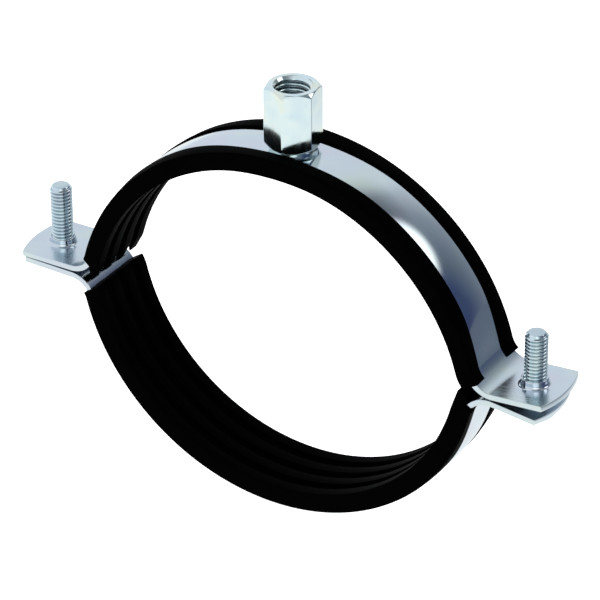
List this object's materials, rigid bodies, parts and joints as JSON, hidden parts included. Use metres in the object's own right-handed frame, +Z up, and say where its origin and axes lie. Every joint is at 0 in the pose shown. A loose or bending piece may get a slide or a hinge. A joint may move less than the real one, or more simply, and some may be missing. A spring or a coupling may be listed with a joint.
{
  "type": "rubber lined pipe clamp",
  "caption": "Two-screw split pipe clamp: pressed steel half bands with ears, black rubber liners and a tall hexagon boss for a threaded hanging rod.",
  "frame": {"origin": "centre of the upper half's pipe seat", "axes": "+X along the ears towards the right-hand screw, +Y along the pipe, +Z up through the connection boss"},
  "size_m": [0.1585, 0.0216, 0.1175],
  "materials": {
    "zinc_band": "smooth bright zinc-plated strip, faintly blue, with soft rolling lines",
    "zinc_boss": "bright blue-passivated zinc on turned hexagon bar",
    "zinc_screw": "bright blue-passivated zinc on rolled thread",
    "black_rubber": "matt black extruded EPDM rubber"
  },
  "bodies": {
    "upper_half": {"upper_band": "zinc_band", "upper_liner": "black_rubber", "connection_boss": "zinc_boss"},
    "lower_half": {"lower_band": "zinc_band", "lower_liner": "black_rubber"},
    "left_fastener": {"left_screw": "zinc_screw"},
    "right_fastener": {"right_screw": "zinc_screw"}
  },
  "joints": [
    {"name": "clamp_opening", "type": "slide", "parent": "upper_half", "child": "lower_half", "axis": [0, 0, 1], "range_m": [-0.012, 0]},
    {"name": "left_screw_turn", "type": "hinge", "parent": "lower_half", "child": "left_fastener", "pos_m": [-0.0718, 0, 0.00775], "axis": [0, 0, 1], "range_deg": [-4320, 0]},
    {"name": "right_screw_turn", "type": "hinge", "parent": "lower_half", "child": "right_fastener", "pos_m": [0.0698, 0, 0.0061], "axis": [0, 0, 1], "range_deg": [-4320, 0]}
  ],
  "couplings": [
    {"joint": "left_screw_turn", "follows": "clamp_opening", "rad_per_m": 6283.2},
    {"joint": "right_screw_turn", "follows": "clamp_opening", "rad_per_m": 6283.2}
  ]
}
